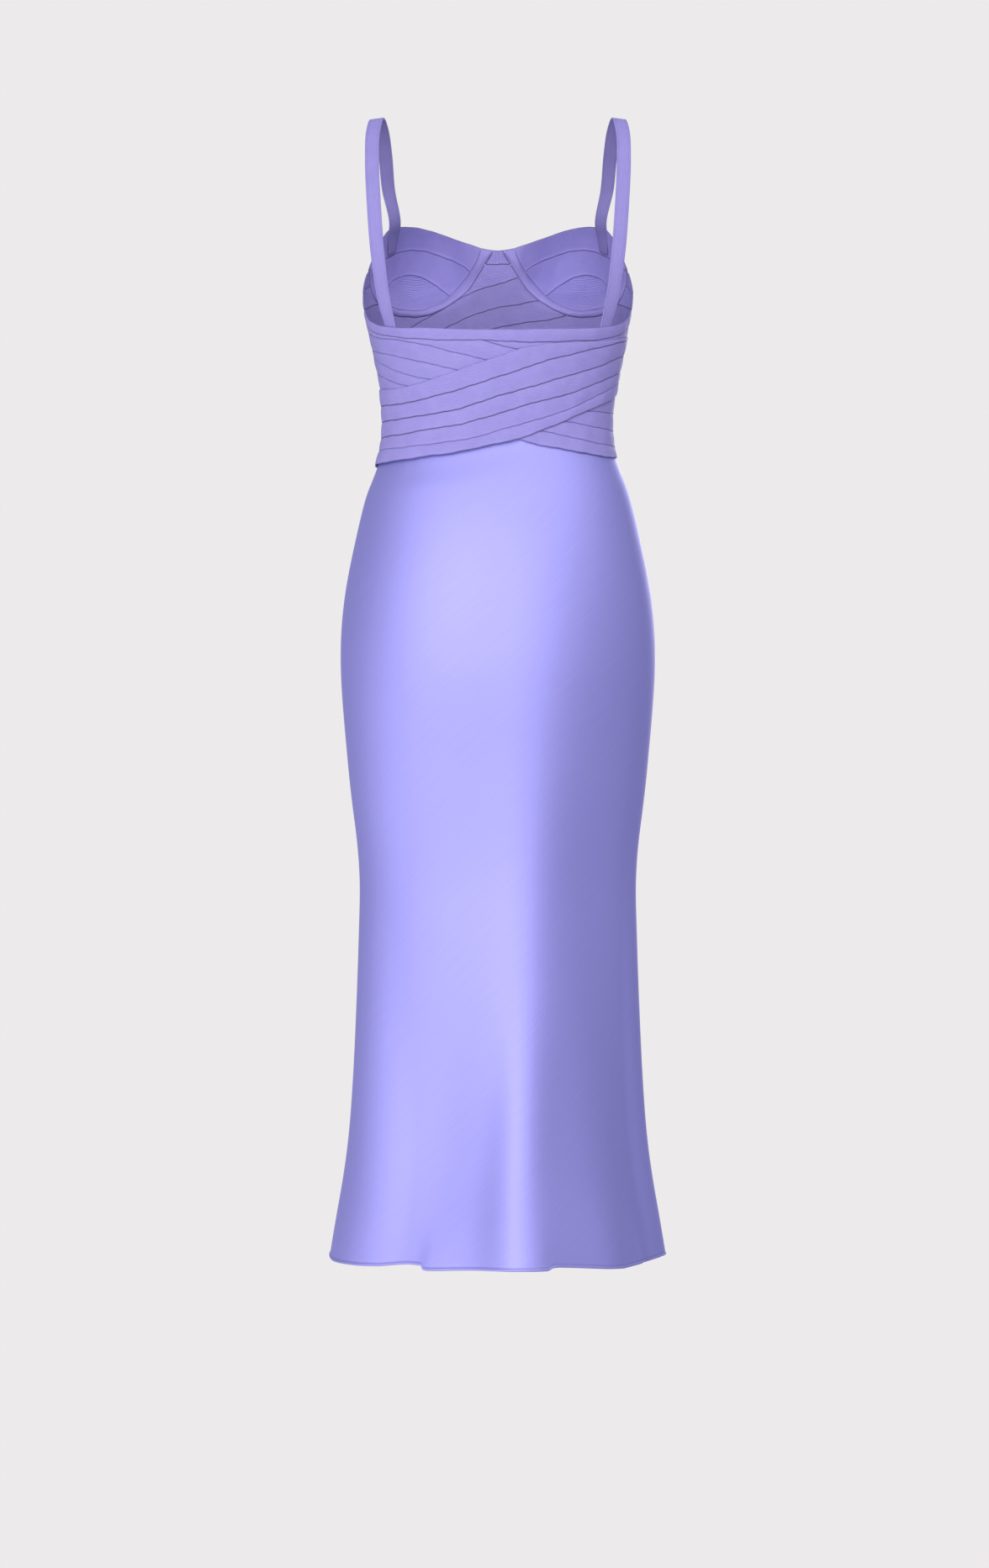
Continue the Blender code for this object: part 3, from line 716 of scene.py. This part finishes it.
def cut_map(grid, up):
    """Coordinates of the cut in mm: how far each column lies along the grid's middle row, and up."""
    run = np.linalg.norm(np.diff(grid[len(grid) // 2], axis=0), axis=-1)
    return np.stack(np.broadcast_arrays(from_start(run), up), axis=-1)


def seam_painted_light(up, height, seam_painted_shades, lip_highlight):
    """Painted light beside a strip's lower and upper seam: painted shade in the stitch lines, and a
    painted highlight over the lower one, where the turned edge would catch the light."""
    low = seam_painted_shades[0] * bell(up, SEAM_SPREAD)
    top = seam_painted_shades[1] * bell(height - up, SEAM_SPREAD)
    return 1 - low - top + lip_highlight * bell(up - LIP_HEIGHT, LIP_SPREAD)


def knit_wall(angles, around, low, high, offset, puff, seam_painted_shades, lip_highlight, dent=0.0, rows=KNIT_ROWS):
    """Inner and outer grids of one knit piece between two seams, its cut's coordinates and painted light
    and shade.

    Beside each seam both faces round in to the middle of the wall on a quarter circle. Between the
    seams the outer face swells out by the puff and the inner face in by the dent, on a sine.
    """
    thick = in_mm("knit_thickness")
    height = high - low
    up = rows_between(height, rows)
    z = low + up
    nearest = np.minimum(up, height - up)
    inward = np.clip(1 - nearest / in_mm("seam_rounding"), 0, 1)
    full = np.sqrt(1 - EDGE_ROUNDING * inward**2)
    swell = np.sin(np.pi * up / height) * np.clip(height / FULL_SWELL_HEIGHT, 0, 1)
    middle = offset + thick / 2 + crinkle(around, z)
    normal = outward(around, z)
    base = body(around, z)
    inner = base + normal * (middle - thick / 2 * full - dent * swell)[..., None]
    outer = base + normal * (middle + thick / 2 * full + puff * swell)[..., None]
    # Painted shade along the seams and side seams, and a painted highlight over the lower seam
    painted_light = seam_painted_light(up, height, seam_painted_shades, lip_highlight) * side_seam_painted_shade(angles, SIDE_SEAM_PAINTED_SHADE)
    return inner, outer, cut_map(outer, up), painted_light


def columns(low, high):
    """Angles from low to high, with every whole step between them that is not too close to either."""
    inside = np.arange(-90, 90 + COLUMN_STEP, COLUMN_STEP)
    inside = inside[(inside > low + CLOSEST_COLUMN) & (inside < high - CLOSEST_COLUMN)]
    first = [-90, -90 + CLOSEST_COLUMN] if low <= -90 else [low]
    last = [90 - CLOSEST_COLUMN, 90] if high >= 90 else [high]
    return np.concatenate([first, inside, last])


def side_seam_painted_shade(angle, dark):
    """Painted shade along the side seams, for angles between them."""
    return beside(90 - np.abs(angle), dark, SIDE_SEAM_SPREAD)


class Seams:
    """Seam heights by name, each from its own table of angles, with the small wander of a sewn line."""

    def __init__(self):
        self.tables = {}

    def add(self, name, angles, heights, mirrored=False):
        self.tables[name] = (angles, heights, mirrored)

    def height(self, name, angle):
        """A seam's height, missing at angles that its table doesn't reach."""
        angles, heights, mirrored = self.tables[name]
        at = np.abs(angle) if mirrored else angle
        there = (at >= min(angles)) & (at <= max(angles))
        line = through(angles, heights, at)
        if name not in SMOOTH_SEAMS:
            for (far, waves), start in zip(SEAM_WANDER, (heights[0], heights[-1])):
                line = line + far * np.sin(waves * np.radians(at) + start)
        return np.where(there, line, np.nan)

    def highest(self, names, angle):
        """The highest of some seams, where any is there."""
        return np.fmax.reduce([self.height(name, angle) for name in names])

    def lowest(self, names, angle):
        """The lowest of some seams, where any is there."""
        return np.fmin.reduce([self.height(name, angle) for name in names])


def region(seams, tops, bottoms, near):
    """Angles and heights of the patch nearest an angle, under its top seams and over its bottom seams."""
    fine = np.linspace(-90, 90, SEARCH_POINTS)
    wide = seams.lowest(tops, fine) - seams.highest(bottoms, fine) > NARROWEST
    start = end = int(np.argmin(np.where(wide, np.abs(fine - near), np.inf)))
    while start > 0 and wide[start - 1]:
        start -= 1
    while end < len(fine) - 1 and wide[end + 1]:
        end += 1
    angles = columns(fine[start], fine[end])
    return angles, seams.highest(bottoms, angles), seams.lowest(tops, angles)


def over_offset(angles):
    """How far the over strips lie out: on top of the under strips, and less at the side seams,
    where all the layers are sewn together."""
    full = in_mm("knit_thickness") + in_mm("strip_swell") + LAYER_GAP
    left = OVER_AT_LEFT + (1 - OVER_AT_LEFT) * fade(90 - angles, 0, OVER_LEFT_REACH)
    right = OVER_AT_RIGHT + (1 - OVER_AT_RIGHT) * fade(90 + angles, 0, OVER_RIGHT_REACH)
    return full * left * right


def back_strip(seams, name, tops, bottoms, over=False):
    """One knit strip of the back: the patch nearest 50 degrees to the wearer's right."""
    angles, low, high = region(seams, tops, bottoms, near=-50.0)
    offset = over_offset(angles) if over else 0.0
    # Painted shade along the strip's lower and upper seams
    seam_painted_shades = (SEAM_PAINTED_SHADES[bottoms[-1]], SEAM_PAINTED_SHADES[tops[-1]])
    grids = knit_wall(angles, angles, low, high, offset, in_mm("strip_swell"), seam_painted_shades, PLAIN_LIP_HIGHLIGHT)
    grids = [grid[:, ::-1] for grid in grids]
    add_cloth(name + "_cloth", *grids, knit(), name, "bandage_knit", "stretched")


class DRESS_OT_back_strips(bpy.types.Operator):
    """Make the back neck band and the two layers of strips that cross over the back"""

    bl_idname = "dress.back_strips"
    bl_label = "Back strips"

    def execute(self, context):
        seams = Seams()
        for name, heights in BACK_SEAMS.items():
            seams.add(name, BACK_ANGLES, heights)
        back_strip(seams, "back_neck_band", ("neck",), ("band",))
        back_strip(seams, "back_under_strip_1", ("band",), ("under_0",))
        for k in range(1, UNDER_STRIPS):
            tops = ("band", "under_%d" % (k - 1))
            back_strip(seams, "back_under_strip_%d" % (k + 1), tops, ("under_%d" % k,))
        for k in range(OVER_STRIPS):
            tops = ("over_%d" % k,)
            back_strip(seams, "back_over_strip_%d" % (k + 1), tops, ("over_%d" % (k + 1),), over=True)
        return {"FINISHED"}


def front_seams():
    """Every seam of the front."""
    seams = Seams()
    for name, points in CUP_SEAMS.items():
        angles, heights = zip(*points)
        seams.add(name, angles, heights, mirrored=True)
    seams.add("front_1", *zip(*FRONT_FIRST_SEAM))
    for name, heights in FRONT_SEAMS.items():
        seams.add(name, BACK_ANGLES, heights)
    seams.add("gore_seam", (-90, 90), (GORE_SEAM_HEIGHT, GORE_SEAM_HEIGHT))
    return seams


def to_front(angle):
    """An angle from the middle of the front, as an angle round the body."""
    return 180.0 - angle


def front_piece(seams, name, tops, bottoms, near, kind="knit_double_face", puff=0.4, dent=0.0,
                rows=KNIT_ROWS, lip_highlight=PLAIN_LIP_HIGHLIGHT, reverse_painted_light=1.0):
    """One panel of the front between its seams: the patch nearest an angle, in a kind of knit."""
    angles, low, high = region(seams, tops, bottoms, near)
    # Painted shade along the front's seams
    seam_painted_shades = (FRONT_SEAM_PAINTED_SHADE, FRONT_SEAM_PAINTED_SHADE)
    grids = knit_wall(angles, to_front(angles), low, high, 0.0, puff, seam_painted_shades, lip_highlight, dent, rows)
    add_cloth(name + "_cloth", *grids, knit(kind), name, "bandage_knit", "stretched", (reverse_painted_light, 1.0))


class DRESS_OT_cups(bpy.types.Operator):
    """Make both cups: neckline band, middle panel, ribbed lower panel and wire channel"""

    bl_idname = "dress.cups"
    bl_label = "Cups"

    def execute(self, context):
        seams = front_seams()
        for side, sign in (("left", 1), ("right", -1)):
            # The cups' reverse faces, inside the cups, are lightened with painted light
            lined = {"near": 48 * sign, "reverse_painted_light": CUP_REVERSE_PAINTED_LIGHT}
            # Stronger painted highlights over the lower seams of the neckline band, middle panel and wire
            # channel
            front_piece(seams, "cup_neck_band_" + side, ("edge",), ("band_seam", "wire_in"),
                        lip_highlight=0.2, **lined)
            front_piece(seams, "cup_middle_" + side, ("band_seam",), ("low_seam", "wire_in"),
                        lip_highlight=0.16, **lined)
            front_piece(seams, "cup_lower_" + side, ("low_seam",), ("wire_in",), kind="knit_ribbed",
                        rows=19, **lined)
            front_piece(seams, "wire_channel_" + side, ("wire_in", "edge"), ("wire_out",),
                        near=40 * sign, puff=0.9, dent=3.0, lip_highlight=0.1)
        return {"FINISHED"}


class DRESS_OT_front_strips(bpy.types.Operator):
    """Make the gore, the strips under the armholes and the strips down to the waist seam"""

    bl_idname = "dress.front_strips"
    bl_label = "Front strips"

    def execute(self, context):
        seams = front_seams()
        for side, sign in (("left", 1), ("right", -1)):
            near = 81 * sign
            front_piece(seams, "side_upper_" + side, ("edge", "wire_out"), ("side_1",), near)
            front_piece(seams, "side_lower_" + side, ("edge", "wire_out", "side_1"), ("side_2",), near)
        front_piece(seams, "gore_top", ("edge", "wire_out"), ("gore_seam",), near=0, kind="knit_crossed")
        front_piece(seams, "gore_ribbed", ("gore_seam", "wire_out"), ("front_1",), near=0,
                    kind="knit_fine_ribbed", rows=13)
        ceiling = ("wire_out", "side_2", "edge")
        # The front strips' reverse faces, inside the bodice, are darkened with painted shade
        front_piece(seams, "front_strip_1", ceiling, ("front_1",), near=70, reverse_painted_light=FRONT_REVERSE_PAINTED_SHADE)
        for k in range(1, FRONT_STRIPS - 1):
            tops = ceiling + ("front_%d" % k,)
            bottoms = ("front_%d" % (k + 1), "waist")
            front_piece(seams, "front_strip_%d" % (k + 1), tops, bottoms, near=20, reverse_painted_light=FRONT_REVERSE_PAINTED_SHADE)
        last = "front_%d" % (FRONT_STRIPS - 1)
        front_piece(seams, "front_strip_%d" % FRONT_STRIPS, (last,), ("waist",), near=-30,
                    reverse_painted_light=FRONT_REVERSE_PAINTED_SHADE)
        return {"FINISHED"}


def inside_cloth(angle, z, depth):
    """A point that far inside the body's shape, and the shape's normal there."""
    place = (np.array([float(angle)]), np.array([float(z)]))
    normal = outward(*place)[0]
    return body(*place)[0] - normal * depth, normal


def strap_path():
    """Points that the middle of the left strap passes, and the turn of its width at each, in degrees:
    inside the back band, over the shoulder, and inside the cup's neckline band."""
    inset = STRAP_INSET + STRAP_THICK / 2
    stops = []
    for angle, z in STRAP_BACK:
        point, normal = inside_cloth(angle, z, inset)
        stops.append((point, -np.degrees(np.arctan2(normal[0], normal[1]))))
    stops += [(stop[:3], stop[3]) for stop in STRAP_FREE]
    for angle, z, flush in STRAP_FRONT:
        point, normal = inside_cloth(to_front(angle), z, inset + STRAP_CLEARS * (1 - flush))
        stops.append((point, np.degrees(np.arctan2(normal[0], -normal[1])) * flush))
    points, turns = zip(*stops)
    return np.array(points), turns


def strap(name, side):
    """A band carried along a smooth path from inside the back band, over the shoulder, to a cup. Its
    section is flat in the middle and rounded at both edges."""
    points, turns = strap_path()
    run = from_start(np.linalg.norm(np.diff(points, axis=0), axis=1))
    t = np.linspace(0, run[-1], STRAP_STATIONS)
    centre = np.stack([through(run, points[:, k], t) for k in range(3)], axis=-1)
    turn = np.radians(through(run, turns, t))
    along = np.gradient(centre, t, axis=0)
    along /= np.linalg.norm(along, axis=1, keepdims=True)
    crest = t[np.argmax(centre[:, 2])]
    width = np.stack([np.cos(turn), np.sin(turn), -STRAP_LEAN * bell(t - crest, STRAP_LEAN_REACH)], axis=-1)
    width -= along * np.sum(width * along, axis=1, keepdims=True)
    width /= np.linalg.norm(width, axis=1, keepdims=True)
    thick = np.cross(along, width)
    up = rows_between(np.array([STRAP_WIDTH]), STRAP_ROWS)
    across = up - STRAP_WIDTH / 2
    near_edge = np.clip(1 - np.minimum(up, STRAP_WIDTH - up) / STRAP_EDGE_ROUNDING, 0, 1)
    from_stitches = np.abs(across) - STRAP_WIDTH / 2 + STITCH_INSET
    full = np.sqrt(1 - EDGE_ROUNDING * near_edge**2) * beside(from_stitches, *STITCH_DENT)
    half = thick * (STRAP_THICK / 2 * full)[..., None]
    middle = centre + width * across[..., None]
    inner = middle - half
    outer = middle + half
    uv = np.stack(np.broadcast_arrays(t, up), axis=-1)
    # Painted shade on both faces of the strap, deeper on its reverse face
    light = (STRAP_REVERSE_PAINTED_SHADE, STRAP_FACE_PAINTED_SHADE)
    if side < 0:
        mirror = np.array([-1, 1, 1])
        inner, outer = outer * mirror, inner * mirror
        light = light[::-1]
    # Painted shade in the stitch dents and over the strap's turned end
    painted_light = beside(from_stitches, *STITCH_PAINTED_SHADE) * beside(run[-1] - t, *STRAP_END_PAINTED_SHADE)
    add_cloth(name + "_cloth", inner, outer, uv, painted_light, knit(), name, "knit_strap", "stretched", light)


class DRESS_OT_straps(bpy.types.Operator):
    """Make both shoulder straps"""

    bl_idname = "dress.straps"
    bl_label = "Straps"

    def execute(self, context):
        strap("strap_left", 1)
        strap("strap_right", -1)
        return {"FINISHED"}


def hem_line(angle):
    """How far the hem lies above its lowest line: the table over the back, and slow waves in front."""
    at, rise = zip(*HEM_RISE)
    away = 180 - np.abs(angle)
    wave = FRONT_HEM_WAVE * np.sin(np.radians(FRONT_HEM_WAVES * away)) * fade(90 - away, 0, FRONT_HEM_REACH)
    return np.where(np.abs(angle) <= 90, np.interp(angle, at, rise), wave)


def skirt_panel(name, angles, around, edge, turned):
    """One satin panel, from inside the bodice's edge, out past it and down to the rolled hem. The wall
    is even down to the hem, where it swells to a narrow round roll."""
    satin = in_mm("satin_thickness")
    roll = in_mm("hem_roll")
    hem = HEM_HEIGHT + hem_line(around)
    below_edge = edge - SKIRT_SETTLE
    top_rows = edge - np.linspace(-TUCK, SKIRT_SETTLE, SKIRT_TOP_ROWS)[:-1, None]
    share = np.linspace(0, 1, SKIRT_ROWS)[:, None]
    above_roll = hem + ABOVE_ROLL * roll
    middle_rows = below_edge + (above_roll - below_edge) * share
    z = np.concatenate([top_rows, middle_rows, hem + roll * ROLL_ROWS[:, None]])[::-1]
    tucked = -(LAYER_GAP + TUCK_GAP + satin)
    offset = tucked + (SKIRT_STANDS - tucked) * fade(edge - z, 0.0, SKIRT_SETTLE)
    above = (z - hem) / roll
    round_roll = np.sqrt(np.clip(1 - ((above - 0.5) / 0.5) ** 2, ROLL_LEAST, 1))
    bead = np.where(above < 1.0, round_roll * (roll - satin) / 2, 0)
    normal = outward(around, z)
    base = body(around, z)
    inner = base + normal * (offset - bead)[..., None]
    outer = base + normal * (offset + satin + bead)[..., None]
    # Painted shade along the crease over the rolled hem and along the side seams
    painted_light = beside(above - ROLL_LINE_HEIGHT, *ROLL_LINE_PAINTED_SHADE) * side_seam_painted_shade(angles, SKIRT_SEAM_PAINTED_SHADE)
    grids = (inner, outer, cut_map(outer, z), painted_light)
    if turned:
        grids = [grid[:, ::-1] for grid in grids]
    satin_finish = finish("polyester_satin", satin_material, bpy.context.scene.dress_colours)
    add_cloth(name + "_cloth", *grids, satin_finish, name, "satin", "hung")


class DRESS_OT_skirt(bpy.types.Operator):
    """Make the back and front panels of the satin skirt"""

    bl_idname = "dress.skirt"
    bl_label = "Skirt"

    def execute(self, context):
        angles = np.linspace(-90, 90, SKIRT_COLUMNS)
        close = 90 - CLOSEST_COLUMN
        angles = np.concatenate([[-90, -close], angles[1:-1], [close, 90]])
        back = Seams()
        for name in ("under_5", "over_5"):
            back.add(name, BACK_ANGLES, BACK_SEAMS[name])
        edge = back.lowest(("under_5", "over_5"), angles)
        skirt_panel("skirt_back", angles, angles, edge, True)
        front = front_seams()
        skirt_panel("skirt_front", angles, to_front(angles), front.height("waist", angles), False)
        return {"FINISHED"}


# Studio: the camera stands level, four metres behind the dress, near its middle line
CAMERA_PLACE = (0.0036, 4.0, -0.710)
CAMERA_LENS = 85.8
FLOOR_HEIGHT = -1.6
FLOOR_RADIUS, BACKDROP_RADIUS = 14.0, 14.7
# The backdrop's dome: its lowest and highest angle, and its rings
BACKDROP_RISE = (-20, 88, 28)
SKY_LIGHT = {"Color": (0.83, 0.83, 1.0, 1.0), "Strength": 0.49}
LAMP_COLOUR = (1.0, 0.99, 1.0)
# Softboxes: name, place, what they face, width and height in metres, and watts
SOFTBOXES = (
    ("key_softbox", (0.9, 3.65, 0.1), (0.0, 0.0, -0.65), (4.5, 4.8), 170),
    ("side_softbox", (2.2, 0.8, -2.2), (0.1, 0.0, -1.15), (0.8, 0.8), 17),
    ("top_softbox", (-1.5, 1.5, 2.1), (0.0, 0.0, -0.45), (1.4, 1.2), 26),
    ("front_softbox", (-1.2, -3.6, 0.6), (0.0, 0.0, -0.65), (1.6, 2.2), 75),
)


def soft_light(name, place, aim, size, watts):
    """A rectangular softbox at a place, turned to face its aim."""
    lamp = bpy.data.lights.new(name, "AREA")
    lamp.shape = "RECTANGLE"
    lamp.size, lamp.size_y = size
    lamp.energy = watts
    lamp.color = LAMP_COLOUR
    box = bpy.data.objects.new(name, lamp)
    way = np.array(aim) - np.array(place)
    flat = math.hypot(way[0], way[1])
    box.rotation_euler = (math.atan2(flat, -way[2]), 0.0, math.atan2(-way[0], way[1]))
    box.location = place
    box.visible_camera = False
    bpy.context.scene.collection.objects.link(box)


def studio_material(colour):
    """Evenly lit seamless paper: it gives the eye one pale tone with no shadow on it."""
    material, tree = new_material("seamless_paper")
    show(tree, "ShaderNodeEmission", {"Color": colour, "Strength": 1.0})
    return material


def stage_piece(name, points, faces, material):
    """One surface of the studio, which is seen but neither lights nor shades the dress."""
    mesh = bpy.data.meshes.new(name)
    mesh.from_pydata(points.tolist(), [], faces.tolist())
    mesh.update()
    mesh.materials.append(material)
    piece = bpy.data.objects.new(name, mesh)
    bpy.context.scene.collection.objects.link(piece)
    for ray in ("diffuse", "glossy", "shadow"):
        setattr(piece, "visible_" + ray, False)


class DRESS_OT_stage(bpy.types.Operator):
    """Make the pale floor and backdrop, the soft lights and the camera"""

    bl_idname = "dress.stage"
    bl_label = "Studio"

    def execute(self, context):
        scene = context.scene
        paper = studio_material(tuple(scene.dress_colours.floor))
        turn = np.radians(np.arange(0, 360, 5))
        ring = np.stack([np.cos(turn), np.sin(turn), np.zeros_like(turn)], axis=-1)
        floor = np.concatenate([[[0, 0, 0]], ring * FLOOR_RADIUS])
        floor[:, 2] += FLOOR_HEIGHT
        edge = np.arange(1, len(turn) + 1)
        fans = np.stack([np.zeros_like(edge), edge, np.roll(edge, -1)], axis=-1)
        stage_piece("floor", floor, fans, paper)
        rise = np.radians(np.linspace(*BACKDROP_RISE))[:, None]
        wall = (np.cos(rise) * np.cos(turn), np.cos(rise) * np.sin(turn), np.sin(rise))
        wall = np.stack(np.broadcast_arrays(*wall), axis=-1) * BACKDROP_RADIUS
        index = np.arange(wall.shape[0] * wall.shape[1]).reshape(wall.shape[:2])
        after = np.roll(index, -1, axis=1)
        faces = np.stack([index[:-1], index[1:], after[1:], after[:-1]], axis=-1).reshape(-1, 4)
        stage_piece("backdrop", wall.reshape(-1, 3), faces, paper)

        world = scene.world or bpy.data.worlds.new("studio")
        scene.world = world
        world.use_nodes = True
        world.node_tree.nodes.clear()
        show(world.node_tree, "ShaderNodeBackground", SKY_LIGHT, "ShaderNodeOutputWorld")
        for softbox in SOFTBOXES:
            soft_light(*softbox)

        camera = bpy.data.objects.new("camera", bpy.data.cameras.new("camera"))
        camera.data.lens = CAMERA_LENS
        camera.data.sensor_width = 36.0
        camera.data.clip_end = 60.0
        camera.location = CAMERA_PLACE
        camera.rotation_euler = (math.radians(90), 0.0, math.radians(180))
        scene.collection.objects.link(camera)
        scene.camera = camera
        scene.view_settings.view_transform = "Standard"
        return {"FINISHED"}


class DRESS_PT_panel(bpy.types.Panel):
    """The dress's sizes, colours and pieces"""

    bl_idname = "DRESS_PT_panel"
    bl_label = "Dress"
    bl_space_type = "VIEW_3D"
    bl_region_type = "UI"
    bl_category = "Dress"

    def draw(self, context):
        for group in (context.scene.dress_sizes, context.scene.dress_colours):
            box = self.layout.box()
            for name in group.__annotations__:
                box.prop(group, name)
        for operator in OPERATORS:
            self.layout.operator(operator.bl_idname)


OPERATORS = (
    DRESS_OT_back_strips,
    DRESS_OT_cups,
    DRESS_OT_front_strips,
    DRESS_OT_straps,
    DRESS_OT_skirt,
    DRESS_OT_stage,
)
CLASSES = (DressSizes, DressColours, *OPERATORS, DRESS_PT_panel)


def register():
    for cls in CLASSES:
        bpy.utils.register_class(cls)
    bpy.types.Scene.dress_sizes = bpy.props.PointerProperty(type=DressSizes)
    bpy.types.Scene.dress_colours = bpy.props.PointerProperty(type=DressColours)


def unregister():
    del bpy.types.Scene.dress_colours
    del bpy.types.Scene.dress_sizes
    for cls in reversed(CLASSES):
        bpy.utils.unregister_class(cls)


def main():
    """Build the dress and its studio."""
    register()
    bpy.ops.dress.back_strips()
    bpy.ops.dress.cups()
    bpy.ops.dress.front_strips()
    bpy.ops.dress.straps()
    bpy.ops.dress.skirt()
    bpy.ops.dress.stage()


if __name__ == "__main__":
    main()
